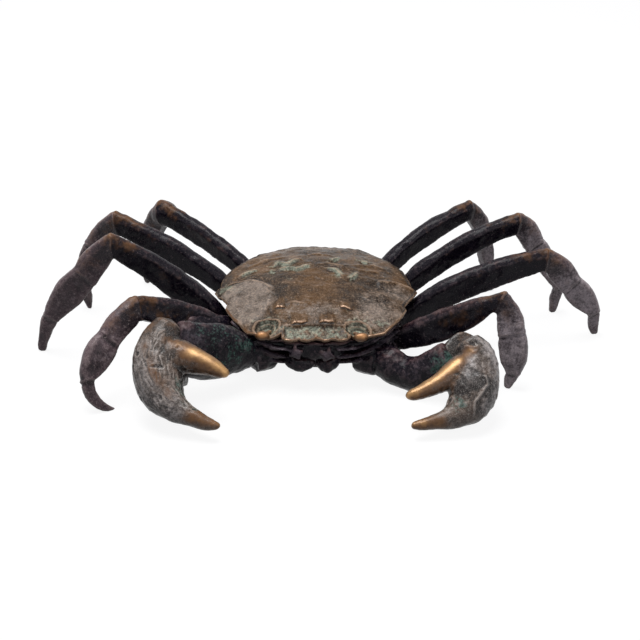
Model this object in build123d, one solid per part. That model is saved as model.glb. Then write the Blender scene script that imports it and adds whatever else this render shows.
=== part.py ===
from build123d import *
import math
import os

os.makedirs("parts", exist_ok=True)

# A patinated bronze crab, cast in sections from a mitten crab. The sections are pegged and brazed together.
# Millimetres. +Z is up, the crab looks along -Y, and its own left side is +X.
# The origin lies on the table under the middle of the whole figure.
# A value or table named with share holds parts of the size that it is used with. Angles are in degrees.

# Body
carapace_width = 66.0
carapace_length = 58.8
crown_height = 7.8
across_fall = 6.0
along_fall = 6.1
crown_setback = 2.0
seam_height = 19.0
body_pitch = 4.5
crown_bands = 11
hollow_bands = 3
shell_wall = 2.0
side_overhang = 8.0
end_overhang = 4.9
underbody_depth = 14.0
underbody_wall = 4.8
cavity_draft_angle = 30
belly_bevel_down = 3.4
lip_height = 1.5
lip_width = 1.4
rim_land = 3.2

# Ridges and crests on the carapace
ridge_width = 4.5
ridge_height = 1.3
crest_depth = 3.4
crest_height = 1.2
crest_sink = 0.9
outer_crest_length = 3.8
inner_crest_length = 5.0

# Belly relief
tail_length = 30.0
tail_width = 17.0
tail_relief = 0.8
plate_groove = 0.7

# Mouth and eyes
mouth_plate_width = 7.4
mouth_plate_height = 8.6
mouth_plate_thickness = 3.2
mouth_plate_bevel = 1.0
mouth_gap = 0.3
mouth_drop = 6.6
mouth_peg = 1.6
eye_radius = 1.7
eye_length = 4.0
eye_stalk_radius = 1.0
eye_stalk_length = 3.0
eye_root = 2.0
eye_sink = 0.2
eye_sides = 12

# Pegs and seats between castings
peg_length = 2.4
peg_clearance = 0.1
foot_sink = 0.2
boss_reach = 7.0
boss_margin = 0.5
overrun = 1.0

# Walking legs: how thick each section is, seen from above
thigh_thickness = 5.2
knee_thickness = 4.8
shin_thickness = 4.2
foot_thickness = 3.0

# Claws
palm_length = 35.0
palm_thickness = 12.0
finger_thickness = 7.0
finger_rise = 1.8
wrist_depth = 7.4
wrist_bevel = 1.8
finger_peg = 2.4
arm_peg = 3.2
arm_bevel = 2.2
arm_root_height = 7.0
arm_height = 11.0
arm_thickness = 8.6

SIDES = {"left": 1, "right": -1}
SECTIONS = ("thigh", "knee", "shin", "foot")

# The four walking legs of each side. place_share: where the leg leaves its boss, out and back, in shares of
# half the underbody's width and length. height: the same above the table. swing: how far forward it points.
# lean: how far its plane leans back. length: of the four sections. bend: how much each joint after the first
# section turns down. seam: the height at root, knee, shin, foot and tip. depth: each section's greatest height.
# arch_share: how far each section's middle stands out of its line, in shares of its length.
LEGS = {
    "left_leg_1": dict(
        place_share=(1.052, -0.506), height=10.7, swing=19, lean=8, length=(37.6, 11.0, 13.5, 6.0),
        bend=(94, 18, 24), seam=(6.6, 6.6, 8.0, 4.6, 1.9), depth=(9.2, 8.2, 8.8, 3.8),
        arch_share=(-0.02, 0.09, 0.02, -0.05)),
    "left_leg_2": dict(
        place_share=(1.08, 0.02), height=11.3, swing=-9.7, lean=0, length=(52.4, 13.4, 14.3, 8.5),
        bend=(66, 5, 34), seam=(6.0, 6.4, 8.0, 4.6, 1.9), depth=(8.8, 8.4, 8.2, 3.9),
        arch_share=(0.054, 0.07, 0.03, -0.03)),
    "left_leg_3": dict(
        place_share=(1.04, 0.51), height=13.6, swing=-16.1, lean=0, length=(48.1, 10.8, 20.3, 10.0),
        bend=(77, 9, 41), seam=(5.4, 6.2, 7.2, 4.0, 1.7), depth=(7.4, 8.0, 7.6, 3.4),
        arch_share=(0.064, 0.09, 0.02, -0.04)),
    "left_leg_4": dict(
        place_share=(0.74, 0.857), height=14.5, swing=-29.8, lean=0, length=(43.3, 12.2, 14.9, 8.8),
        bend=(82, 22, 1), seam=(4.8, 5.4, 5.4, 3.4, 1.5), depth=(6.8, 6.8, 5.6, 3.0),
        arch_share=(0.066, 0.08, 0.02, -0.04)),
    "right_leg_1": dict(
        place_share=(1.04, -0.535), height=11.1, swing=30, lean=20, length=(36.2, 13.5, 14.5, 13.0),
        bend=(61, 19, 69), seam=(6.6, 7.6, 7.2, 4.2, 1.8), depth=(9.4, 8.4, 9.0, 3.8),
        arch_share=(0.05, 0.05, 0.04, 0.20)),
    "right_leg_2": dict(
        place_share=(1.092, -0.122), height=7.6, swing=-2.7, lean=0, length=(49.5, 14.2, 19.9, 13.4),
        bend=(88, 3, 21), seam=(5.6, 7.0, 8.8, 5.4, 2.3), depth=(9.2, 8.8, 9.8, 4.0),
        arch_share=(0.053, 0.06, 0.03, 0.06)),
    "right_leg_3": dict(
        place_share=(1.04, 0.51), height=14.3, swing=-19.2, lean=0, length=(47.6, 13.3, 16.4, 10.0),
        bend=(72, 20, 40), seam=(5.2, 7.0, 7.2, 3.8, 1.6), depth=(7.6, 7.8, 7.0, 3.2),
        arch_share=(0.042, 0.07, 0.03, -0.04)),
    "right_leg_4": dict(
        place_share=(0.74, 0.857), height=14.9, swing=-35.7, lean=0, length=(45.0, 13.5, 12.7, 6.0),
        bend=(79, 18, 16), seam=(4.4, 7.6, 6.4, 3.4, 1.5), depth=(7.0, 7.6, 6.0, 3.0),
        arch_share=(0.042, 0.07, 0.02, -0.05)),
}

# The two claws. place_share and height: where the arm leaves its boss, as on a leg.
# reach: the way from there to the wrist, the middle of the palm's upper end, out, back and up.
# sag_share: how far the middle of the arm hangs below the line to the wrist, in shares of the way outwards.
# palm and finger: outlines as shares of palm_length, seen from the front of the claw,
# with the first share running towards the crab's middle and the second upwards.
CLAWS = {
    "left_claw": dict(
        place_share=(0.80, -0.90), height=7.4, reach=(25.5, -12.75, 15.5), sag_share=0.12,
        palm_share=[
            [(-0.09, 0.11)], [(-0.245, -0.06), (-0.31, -0.35)], [(-0.28, -0.58), (-0.12, -0.71)],
            [(0.12, -0.81), (0.38, -0.87)], [(0.465, -0.85), (0.43, -0.77)], [(0.28, -0.71), (0.16, -0.57)],
            [(0.14, -0.49)], [(-0.02, -0.10)], [(-0.02, 0.06)], [(-0.09, 0.11)]],
        finger_share=[
            [(-0.02, -0.10)], [(0.24, -0.24), (0.49, -0.49)], [(0.52, -0.57), (0.44, -0.60)],
            [(0.28, -0.55), (0.14, -0.49)], [(-0.02, -0.10)]]),
    "right_claw": dict(
        place_share=(0.82, -0.90), height=8.4, reach=(25.5, -12.75, 15.8), sag_share=0.01,
        palm_share=[
            [(-0.09, 0.11)], [(-0.25, -0.10), (-0.265, -0.36)], [(-0.21, -0.58), (-0.07, -0.71)],
            [(0.14, -0.825), (0.40, -0.88)], [(0.48, -0.86), (0.44, -0.80)], [(0.25, -0.72), (0.13, -0.56)],
            [(0.14, -0.44)], [(0.0, -0.10)], [(-0.01, 0.06)], [(-0.09, 0.11)]],
        finger_share=[
            [(0.0, -0.10)], [(0.30, -0.18), (0.55, -0.35)], [(0.58, -0.42), (0.50, -0.44)],
            [(0.32, -0.39), (0.14, -0.44)], [(0.0, -0.10)]]),
}

# How the palm's thickness runs down the claw: shares of palm_length upwards, of palm_thickness to the back.
palm_side_share = [
    [(0.5, 0.5)], [(0.5, -0.30)], [(-0.10, -0.50)], [(-0.55, -0.50)], [(-0.84, -0.38)], [(-1.0, -0.16)],
    [(-1.0, 0.10)], [(-0.80, 0.26)], [(-0.45, 0.5)], [(0.5, 0.5)]]

# The same from above: shares of palm_length inwards, of palm_thickness to the back.
palm_top_share = [
    [(-0.40, 0.05)], [(-0.30, -0.20), (-0.16, -0.5)], [(0.6, -0.5)], [(0.6, 0.5)], [(-0.20, 0.5)],
    [(-0.40, 0.05)]]

# The wrist block behind the palm, as shares of palm_length in the claw's own plane.
wrist_share = [
    [(0.13, -0.38)], [(0.13, -0.05)], [(0.04, 0.08), (-0.08, 0.12)], [(-0.22, 0.07)],
    [(-0.28, -0.10), (-0.19, -0.32)], [(-0.04, -0.42)], [(0.13, -0.38)]]

# Which way a claw faces: its outline's first share runs along this direction, its second along the other.
claw_inwards_share = (-0.99, -0.11, 0.10)
claw_upwards_share = (0.0, 0.73, 0.68)

# Where the carapace's margin runs, from the middle of the front edge round the crab's left side to the back:
# four shallow lobes in front, the eye's notch, three teeth and the round back edge.
margin_share = [
    [(0.0, -0.975)], [(0.082, -1.0), (0.164, -0.975)], [(0.245, -0.99), (0.327, -0.962)], [(0.330, -0.87)],
    [(0.455, -0.782), (0.59, -0.792)], [(0.66, -0.825)], [(0.79, -0.60), (0.878, -0.375)], [(0.86, -0.31)],
    [(0.935, -0.13), (1.0, 0.045)], [(0.945, 0.12)], [(0.86, 0.47), (0.62, 0.78)],
    [(0.50, 0.90), (0.318, 0.973)], [(0.16, 0.995), (0.0, 1.0)]]

# Ornament on the carapace: places as shares of half its width and half its length.
ridge_from_share, ridge_to_share = (0.94, 0.045), (0.50, 0.16)
outer_crest_share, inner_crest_share = (0.33, -0.58), (0.135, -0.83)

# Corners and bevels: shares of the underbody's lesser side, then of palm_length
corner_share = 0.286
corner_edge_share = 0.122
belly_bevel_share = 0.184
finger_bevel_share = 0.043

# Worked out from the sizes above
across_radius = (carapace_width**2 / 4 + across_fall**2) / (2 * across_fall)
along_radius = ((carapace_length / 2 + crown_setback) ** 2 + along_fall**2) / (2 * along_fall)
underbody_width = carapace_width - 2 * side_overhang
underbody_length = carapace_length - 2 * end_overhang
underbody_corner = corner_share * min(underbody_width, underbody_length)
underbody_corner_edge = corner_edge_share * min(underbody_width, underbody_length)
belly_bevel_across = belly_bevel_share * min(underbody_width, underbody_length)
finger_bevel = finger_bevel_share * palm_length

# Sections and bevels: shares of a section's depth, thickness or seam.
side_bevel_share = 0.20
edge_bevel_share = 0.30
peg_share = 0.42
foot_taper_share = 0.55
finger_taper_share = 0.42
arm_end_share = 0.92
boss_corner_share = 0.25
palm_peg_share = (-0.12, -0.12)
frons_side_share = (0.328, -0.90)
tail_narrowing_share = (0.80, 1.0, 0.94, 0.80, 0.62, 0.38)
plate_groove_share = (-0.50, -0.20, 0.10)
mouth_share = [
    [(-0.5, -0.22)], [(-0.36, -0.42)], [(-0.05, -0.5)], [(0.32, -0.38)], [(0.5, -0.08)], [(0.5, 0.22)],
    [(0.34, 0.45)], [(-0.05, 0.5)], [(-0.42, 0.36)], [(-0.5, -0.22)]]


def path_edges(path, across, along):
    """Edges through a path of shares: an entry with one point is a line to it, one with two an arc."""
    here = Vector(path[0][0][0] * across, path[0][0][1] * along)
    edges = []
    for entry in path[1:]:
        points = [Vector(x * across, y * along) for x, y in entry]
        edges.append(Line(here, points[0]) if len(points) == 1 else ThreePointArc(here, *points))
        here = points[-1]
    return edges


def slab(face, thickness, side_bevel, edge_bevel, outward=None):
    """The face thickened to both sides of its plane, with its curved edges bevelled towards both flat sides.
    Where outward is given, only the curved edge that lies furthest that way."""
    solid = extrude(face, thickness / 2, both=True)
    for side in (Axis.Z, -Axis.Z):
        flat = solid.faces().sort_by(side)[-1]
        edges = [edge for edge in flat.edges() if edge.geom_type == GeomType.CIRCLE]
        if outward:
            edges = sorted(edges, key=lambda edge: (edge @ 0.5).dot(outward))[-1:]
        solid = chamfer(edges, side_bevel, edge_bevel, reference=flat)
    return solid


def cushion(face, thickness, inset, rise):
    """The face thickened upwards, with its upper rise drawn in by the inset all round."""
    block = extrude(face, thickness - rise, dir=(0, 0, 1))
    cap = extrude(face, rise, dir=(0, 0, 1), taper=math.degrees(math.atan2(inset, rise)))
    return block + Pos(0, 0, thickness - rise) * cap


def pillow(face, thickness, inset, rise):
    """The face thickened to both sides of its plane, drawn in towards both flat sides."""
    half = cushion(face, thickness / 2, inset, rise)
    return half + half.mirror(Plane.XY)


def peg(plane, size, grow=0):
    """A square peg that runs back from the plane or, with grow, the socket that takes it."""
    width = size + 2 * grow
    return plane.location * Box(width, width, peg_length + grow, align=(Align.CENTER, Align.CENTER, Align.MAX))


def crown_drop(x, y):
    """How far the carapace has fallen from its crown at this place."""
    across = across_radius - math.sqrt(across_radius**2 - x**2)
    return across + along_radius - math.sqrt(along_radius**2 - (y - crown_setback) ** 2)


def on_dome(share, side, sink=0):
    """A place on the carapace's top, from the middle of the seam."""
    x, y = side * share[0] * carapace_width / 2, share[1] * carapace_length / 2
    return Vector(x, y, crown_height - crown_drop(x, y) - sink)


def dome(crown, bands):
    """A thick domed blank: flat bands that follow an arc across the back, swung about a line below."""
    reach = carapace_width / 2 + overrun
    edges = [reach * (2 * band / bands - 1) for band in range(bands + 1)]
    top = [(x, crown - crown_drop(x, crown_setback)) for x in edges]
    section = make_face(Polyline(*top, (reach, -underbody_depth), (-reach, -underbody_depth), close=True))
    axis = Axis((0, crown_setback, crown - along_radius), (1, 0, 0))
    swing = math.degrees(math.asin((carapace_length / 2 + crown_setback + overrun) / along_radius))
    section = (Plane.XZ.offset(-crown_setback) * section).rotate(axis, -swing)
    return revolve(section, axis, 2 * swing)


def cavity_outline(inset):
    """The cut-cornered outline of the hollow and of the lip, drawn in from the underbody's edge."""
    frame = Rectangle(underbody_width - 2 * inset, underbody_length - 2 * inset)
    return chamfer(frame.vertices(), underbody_corner - inset)


def ridge(side):
    """A low ridge that runs from the side tooth over the back."""
    start = on_dome(ridge_from_share, side, ridge_height)
    run = on_dome(ridge_to_share, side, ridge_height) - start
    section = Polyline((-ridge_width / 2, 0), (0, 2 * ridge_height), (ridge_width / 2, 0), close=True)
    across = Plane(origin=start, x_dir=Vector(0, 0, 1).cross(run), z_dir=run)
    return extrude(across * make_face(section), run.length)


def crest(share, side, length):
    """A short crest behind the front edge, steep in front and gentle behind."""
    low, high = crest_sink, crest_height
    section = Polyline((0, -low), (0, high), (crest_depth, 0), (crest_depth, -low), close=True)
    block = extrude(Plane.YZ * make_face(section), length / 2, both=True)
    return Pos(on_dome(share, side)) * block


def carapace():
    """The upper shell: the dome cut to the toothed margin, hollowed, with its ridges and crests."""
    half = path_edges(margin_share, carapace_width / 2, carapace_length / 2)
    margin = make_face([*half, *[edge.mirror(Plane.YZ) for edge in half]])
    shell = extrude(margin, crown_height + overrun) & dome(crown_height, crown_bands)
    for side in (1, -1):
        shell += ridge(side)
        shell += crest(outer_crest_share, side, outer_crest_length)
        shell += crest(inner_crest_share, side, inner_crest_length)
    shell &= extrude(margin, crown_height + crest_height)
    hollow = extrude(cavity_outline(rim_land), crown_height + overrun)
    channel = cavity_outline(rim_land) - cavity_outline(rim_land + lip_width + 2 * peg_clearance)
    hollow &= dome(crown_height - shell_wall, hollow_bands)
    return shell - hollow - extrude(channel, lip_height + peg_clearance)


def bowl():
    """The underbody's block: upright sides and a broad bevel under the belly."""
    outline = chamfer(cavity_outline(0).vertices(), underbody_corner_edge)
    block = extrude(outline, -underbody_depth)
    belly = block.faces().sort_by(Axis.Z)[0]
    return chamfer(belly.edges(), belly_bevel_across, belly_bevel_down, reference=belly)


def belly_relief():
    """The narrow tail folded under the belly, in overlapping segments that taper towards the mouth."""
    step = tail_length / len(tail_narrowing_share)
    relief = []
    for index, share in enumerate(tail_narrowing_share):
        near, far = tail_relief, tail_relief / 2
        section = Polyline((0, 0), (0, -near), (-step, -far), (-step, 0), close=True)
        plate = extrude(Plane.YZ * make_face(section), share * tail_width / 2, both=True)
        relief.append(Pos(0, tail_length / 2 - index * step, -underbody_depth) * plate)
    return relief


def underbody():
    """The lower shell, before its bosses: a hollow bowl with a lip that locates the carapace."""
    outline = cavity_outline(underbody_wall)
    cavity = extrude(outline, underbody_wall - underbody_depth, taper=cavity_draft_angle)
    lip_inset = rim_land + peg_clearance
    lip = extrude(cavity_outline(lip_inset) - cavity_outline(lip_inset + lip_width), lip_height)
    shell = bowl() - cavity + lip + belly_relief()
    reach = underbody_width / 2 - belly_bevel_across
    for side in (1, -1):
        for share in plate_groove_share:
            groove = Box(reach - tail_width / 2, plate_groove, 2 * plate_groove)
            x = side * (reach + tail_width / 2) / 2
            shell -= Pos(x, share * underbody_length / 2, -underbody_depth) * groove
    return shell


def limb_root(limb):
    """Where a leg or a claw leaves its boss."""
    out, back = limb["place_share"]
    return Vector(out * underbody_width / 2, back * underbody_length / 2, limb["height"])


def in_body(shape):
    """Puts a shape drawn about the seam where the pitched body has it."""
    return Pos(0, 0, seam_height) * Rot(body_pitch, 0, 0) * shape


def mouth_seat():
    """Where the crab's left jaw plate stands against the face, looking forwards."""
    x = (mouth_gap + mouth_plate_width) / 2
    return Plane(origin=(x, -underbody_length / 2, -mouth_drop), x_dir=(1, 0, 0), z_dir=(0, -1, 0))


def mouth_plate():
    """The crab's left outer jaw plate with its peg, against the face."""
    face = make_face(path_edges(mouth_share, mouth_plate_width, mouth_plate_height))
    plate = cushion(face, mouth_plate_thickness, mouth_plate_bevel, mouth_plate_bevel)
    return mouth_seat().location * (plate + peg(Plane.XY, mouth_peg))


def eye_seat():
    """Where the crab's left eye stalk leaves the side of the front edge: its line runs out along z."""
    return Plane(origin=on_dome(frons_side_share, 1, eye_sink), x_dir=(0, 1, 0), z_dir=(1, 0, 0))


def eye():
    """Stalk and bead along one line, in straight facets. The stalk's root is let into the carapace."""
    half = eye_length / 2
    root = Pos(0, 0, -eye_root) * RegularPolygon(eye_stalk_radius, eye_sides)
    stalk = extrude(root, eye_root + eye_stalk_length)
    taper = math.degrees(math.atan2(eye_radius - eye_stalk_radius, half))
    bead = extrude(RegularPolygon(eye_radius, eye_sides), half, taper=taper)
    return eye_seat().location * (stalk + Pos(0, 0, eye_stalk_length + half) * (bead + bead.mirror(Plane.XY)))


def leg_plane(leg):
    """The plane a leg lies in: x outwards along the leg, y upwards with the lean, from its root."""
    swing, lean = math.radians(leg["swing"]), math.radians(leg["lean"])
    out = Vector(math.cos(swing), -math.sin(swing), 0)
    back = Vector(math.sin(swing), math.cos(swing), 0)
    up = Vector(0, 0, 1) * math.cos(lean) + back * math.sin(lean)
    return Plane(origin=limb_root(leg), x_dir=out, z_dir=out.cross(up))


def leg_angles(leg):
    """The slope of each section, so that the tip just stands on the table."""
    slopes = [0]
    for bend in leg["bend"]:
        slopes.append(slopes[-1] - bend)
    x = sum(n * math.cos(math.radians(a)) for n, a in zip(leg["length"], slopes))
    y = sum(n * math.sin(math.radians(a)) for n, a in zip(leg["length"], slopes))
    drop = (leg["height"] + foot_sink) / math.cos(math.radians(leg["lean"]))
    rise = -math.degrees(math.asin(drop / math.hypot(x, y))) - math.degrees(math.atan2(y, x))
    return [slope + rise for slope in slopes]


def direction(angle):
    """The way an angle points in a plane."""
    return Vector(math.cos(math.radians(angle)), math.sin(math.radians(angle)))


def section_face(leg, index, joints, mitres, angle):
    """The side view of one section: an arc over and an arc under, between its two mitred ends."""
    ends = []
    for end in (index, index + 1):
        half = direction(mitres[end] + 90) * (leg["seam"][end] / 2)
        ends.append((joints[end] + half, joints[end] - half))
    (top_in, low_in), (top_out, low_out) = ends
    middle = (joints[index] + joints[index + 1]) / 2
    normal = direction(angle + 90)
    depth, arch = leg["depth"][index], leg["arch_share"][index] * leg["length"][index]
    over = ThreePointArc(top_in, middle + normal * (arch + depth / 2), top_out)
    under = ThreePointArc(low_out, middle + normal * (arch - depth / 2), low_in)
    return make_face([over, Line(top_out, low_out), under, Line(low_in, top_in)])


def thinned(piece, base, tip, thickness, tip_thickness, width):
    """The piece cut to a wedge that thins from base to tip, and leaves what lies behind the base alone."""
    run = tip - base
    plan = Polyline(
        (-width, thickness), (0, thickness / 2), (run.length, tip_thickness / 2),
        (run.length, -tip_thickness / 2), (0, -thickness / 2), (-width, -thickness), close=True)
    side = Plane(origin=base, x_dir=run, z_dir=run.cross(Vector(0, 0, 1)))
    return piece & extrude(side * make_face(plan), width, both=True)


def leg_pieces(leg):
    """The leg's four castings in the leg's own plane, each mitred to the next and pegged into it."""
    angles = leg_angles(leg)
    joints = [Vector(0, 0)]
    for length, angle in zip(leg["length"], angles):
        joints.append(joints[-1] + direction(angle) * length)
    mitres = [angles[0], *[(a + b) / 2 for a, b in zip(angles, angles[1:])], angles[-1]]
    thicknesses = (thigh_thickness, knee_thickness, shin_thickness, foot_thickness)
    pieces = []
    for index, thickness in enumerate(thicknesses):
        face = section_face(leg, index, joints, mitres, angles[index])
        bevels = (side_bevel_share * leg["seam"][index + 1], edge_bevel_share * thickness)
        pieces.append(slab(face, thickness, *bevels, direction(angles[index] + 90)))
    point = foot_thickness * foot_taper_share
    pieces[-1] = thinned(pieces[-1], joints[-2], joints[-1], foot_thickness, point, leg["length"][-1])
    for index, thickness in enumerate(thicknesses):
        size = peg_share * min(leg["seam"][index], thickness)
        seat = Plane(origin=joints[index], x_dir=(0, 0, 1), z_dir=direction(mitres[index]))
        pieces[index] += peg(seat, size)
        if index:
            pieces[index - 1] -= peg(seat, size, peg_clearance)
    return pieces, Plane(origin=(0, 0, 0), x_dir=(0, 0, 1), z_dir=direction(mitres[0]))


def claw_plane(claw):
    """The plane a claw lies in: x inwards, y upwards, z to the back, from the wrist's middle."""
    inwards, upwards = Vector(*claw_inwards_share), Vector(*claw_upwards_share)
    wrist_middle = limb_root(claw) + Vector(*claw["reach"])
    return Plane(origin=wrist_middle, x_dir=inwards, z_dir=inwards.cross(upwards))


def claw_outline(path):
    """A closed face of the claw, from shares of the palm's length."""
    return make_face(path_edges(path, palm_length, palm_length))


def palm(claw):
    """The palm with its lower finger: what its outlines from the front, the side and above have in common."""
    blank = extrude(claw_outline(claw["palm_share"]), palm_thickness / 2, both=True)
    side_view = make_face(path_edges(palm_side_share, palm_length, palm_thickness))
    top_view = make_face(path_edges(palm_top_share, palm_length, palm_thickness))
    across = Plane(origin=(0, 0, 0), x_dir=(0, 1, 0), z_dir=(1, 0, 0))
    along = Plane(origin=(0, 0, 0), x_dir=(1, 0, 0), z_dir=(0, -1, 0))
    blank &= extrude(across * side_view, palm_length, both=True)
    return blank & extrude(along * top_view, palm_length, both=True)


def finger_seat(claw):
    """The middle of the seam between palm and upper finger: a plane that faces the finger."""
    high, low = Vector(*claw["finger_share"][0][0]), Vector(*claw["finger_share"][-2][-1])
    outwards = (high - low).cross(Vector(0, 0, 1))
    return Plane(origin=(high + low) * (palm_length / 2), x_dir=(0, 0, 1), z_dir=outwards)


def finger(claw):
    """The upper finger: a bevelled horn that thins to its point, with its peg."""
    seat = finger_seat(claw)
    tip = Vector(*claw["finger_share"][2][0]) * palm_length
    horn = pillow(claw_outline(claw["finger_share"]), finger_thickness, finger_bevel, finger_rise)
    point = finger_thickness * finger_taper_share
    horn = thinned(horn, seat.origin, tip, finger_thickness, point, palm_length)
    return horn + peg(seat, finger_peg)


def palm_seat():
    """Where the palm's back stands on the wrist: a plane that faces the palm."""
    x, y = palm_peg_share[0] * palm_length, palm_peg_share[1] * palm_length
    return Plane(origin=(x, y, palm_thickness / 2), x_dir=(1, 0, 0), z_dir=(0, 0, -1))


def wrist_seat():
    """The wrist's inner side, which stands on the arm: a plane that faces the wrist."""
    (x, low), (x, high) = wrist_share[0][0], wrist_share[1][0]
    middle = Vector(x, (low + high) / 2) * palm_length + Vector(0, 0, (palm_thickness + wrist_depth) / 2)
    return Plane(origin=middle, x_dir=(0, 1, 0), z_dir=(-1, 0, 0))


def wrist():
    """The block behind the palm that carries it, bevelled at the back, with its peg towards the arm."""
    block = cushion(claw_outline(wrist_share), wrist_depth, wrist_bevel, wrist_bevel)
    block = Pos(0, 0, palm_thickness / 2) * block
    return block + peg(wrist_seat(), arm_peg) - peg(palm_seat(), arm_peg, peg_clearance)


def arm(claw):
    """The arm from its boss to the wrist, where the wrist's side cuts it off, and its root's plane."""
    root = limb_root(claw)
    seat = claw_plane(claw).location * wrist_seat().location
    reach = seat.position - root
    out = Vector(reach.X, reach.Y, 0)
    upright = Plane(origin=root, x_dir=out, z_dir=out.cross(Vector(0, 0, 1)))
    along = out.length + arm_thickness
    rise = reach.Z * along / out.length
    middle = rise / 2 - claw["sag_share"] * along
    half_root, half_end = arm_root_height / 2, arm_height * arm_end_share / 2
    over = ThreePointArc((0, half_root), (along / 2, middle + arm_height / 2), (along, rise + half_end))
    under = ThreePointArc((along, rise - half_end), (along / 2, middle - arm_height / 2), (0, -half_root))
    face = make_face([over, Line(over @ 1, under @ 0), under, Line(under @ 1, over @ 0)])
    bar = upright.location * slab(face, arm_thickness, arm_bevel, arm_bevel)
    room = Box(*[4 * palm_length] * 3, align=(Align.CENTER, Align.CENTER, Align.MAX))
    bar = (bar & seat * room) - seat * peg(Plane.XY, arm_peg, peg_clearance)
    foot = Plane(origin=root, x_dir=upright.z_dir, z_dir=out)
    return bar + peg(foot, arm_peg), foot


def boss(seat, width, height, run):
    """A cut-cornered boss that carries a limb, back from its seat, or the room in front of the seat."""
    section = Rectangle(width + 2 * boss_margin, height + 2 * boss_margin)
    return extrude(seat * chamfer(section.vertices(), width * boss_corner_share), run)


castings = {}
body = in_body(underbody())
shell = in_body(carapace())
bosses, rooms = [], []

for side, sign in SIDES.items():
    def sided(shape):
        return shape if sign > 0 else shape.mirror(Plane.YZ)

    castings[f"{side}_mouth_plate"] = sided(in_body(mouth_plate()))
    castings[f"{side}_eye"] = sided(in_body(eye()))
    body -= sided(in_body(mouth_seat().location * peg(Plane.XY, mouth_peg, peg_clearance)))
    socket = RegularPolygon(eye_stalk_radius + peg_clearance, eye_sides)
    socket = extrude(socket, eye_root + peg_clearance, both=True)
    shell -= sided(in_body(eye_seat().location * socket))

    claw = CLAWS[f"{side}_claw"]
    bar, foot = arm(claw)
    bosses.append(sided(boss(foot, arm_thickness, arm_root_height, -boss_reach)))
    rooms.append(sided(boss(foot, arm_thickness, arm_root_height, boss_reach)))
    rooms.append(sided(peg(foot, arm_peg, peg_clearance)))
    castings[f"{side}_claw_arm"] = sided(bar)
    place = claw_plane(claw).location
    castings[f"{side}_claw_wrist"] = sided(place * wrist())
    hand = palm(claw) + peg(palm_seat(), arm_peg) - peg(finger_seat(claw), finger_peg, peg_clearance)
    castings[f"{side}_claw_palm"] = sided(place * hand)
    castings[f"{side}_claw_finger"] = sided(place * finger(claw))

    for number in (1, 2, 3, 4):
        leg = LEGS[f"{side}_leg_{number}"]
        pieces, seat = leg_pieces(leg)
        place = leg_plane(leg).location
        bosses.append(sided(place * boss(seat, thigh_thickness, leg["seam"][0], -boss_reach)))
        rooms.append(sided(place * boss(seat, thigh_thickness, leg["seam"][0], boss_reach)))
        rooms.append(sided(place * peg(seat, peg_share * thigh_thickness, peg_clearance)))
        for section, piece in zip(SECTIONS, pieces):
            piece = place * piece
            if section == "foot":
                width = 8 * carapace_width
                piece &= Box(width, width, carapace_width, align=(Align.CENTER, Align.CENTER, Align.MIN))
            castings[f"{side}_leg_{number}_{section}"] = sided(piece)

castings["carapace"] = shell
castings["underbody"] = body + bosses - rooms

# The origin goes under the middle of the whole figure.
box = Compound(list(castings.values())).bounding_box()
centre = Pos(-box.center().X, -box.center().Y, -box.min.Z)
print("body middle in the file:", [round(v, 3) for v in centre.position])
for name, shape in castings.items():
    export_step(centre * shape, f"parts/{name}.step")
    print(name, len(shape.solids()), round(shape.volume, 1), shape.is_valid)
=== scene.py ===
import itertools
import math
import bmesh
import bpy
import numpy as np
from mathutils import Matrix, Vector


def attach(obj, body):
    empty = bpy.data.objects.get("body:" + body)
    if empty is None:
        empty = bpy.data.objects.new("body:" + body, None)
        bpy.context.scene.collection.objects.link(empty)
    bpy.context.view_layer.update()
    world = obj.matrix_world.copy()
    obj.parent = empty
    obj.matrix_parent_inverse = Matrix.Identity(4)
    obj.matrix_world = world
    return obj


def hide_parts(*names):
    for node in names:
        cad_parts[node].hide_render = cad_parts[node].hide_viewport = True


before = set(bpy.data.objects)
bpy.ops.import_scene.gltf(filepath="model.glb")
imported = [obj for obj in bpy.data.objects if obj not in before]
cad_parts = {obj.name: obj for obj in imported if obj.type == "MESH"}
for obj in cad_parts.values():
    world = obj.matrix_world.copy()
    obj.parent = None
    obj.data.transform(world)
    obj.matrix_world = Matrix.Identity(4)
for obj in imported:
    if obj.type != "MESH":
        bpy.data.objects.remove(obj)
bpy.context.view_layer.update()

# Carapace. A thin bronze shell, cast from the crab's own and brazed on the underbody's rim. Its patina is
# brown with ash grey and verdigris, worn to gold on teeth, crests and rim. Its relief is drawn in millimetres
# from the body's middle: x to the crab's left, y to the back, z up from the seam.
body_middle = np.array((-1.706, 4.016, 0.0))
seam_height = 19.0
body_pitch = math.radians(4.5)
carapace_width = 66.0
carapace_length = 58.8
crown_height = 7.8
crown_back = 2.0
side_fall = 6.0
end_fall = 6.1
margin_share = [
    [(0.0, -0.975)], [(0.082, -1.0), (0.164, -0.975)], [(0.245, -0.99), (0.327, -0.962)], [(0.330, -0.89)],
    [(0.43, -0.945), (0.56, -0.88)], [(0.66, -0.825)], [(0.79, -0.60), (0.878, -0.375)], [(0.86, -0.31)],
    [(0.935, -0.13), (1.0, 0.045)], [(0.945, 0.12)], [(0.86, 0.47), (0.62, 0.78)],
    [(0.50, 0.90), (0.318, 0.973)], [(0.16, 0.995), (0.0, 1.0)]]


def in_file(points):
    """Takes points from the pitched body's frame to the file's, both in millimetres."""
    x, y, z = points.T
    back = y * math.cos(body_pitch) - z * math.sin(body_pitch)
    up = seam_height + y * math.sin(body_pitch) + z * math.cos(body_pitch)
    return np.stack([x, back, up], 1) + body_middle


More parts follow.
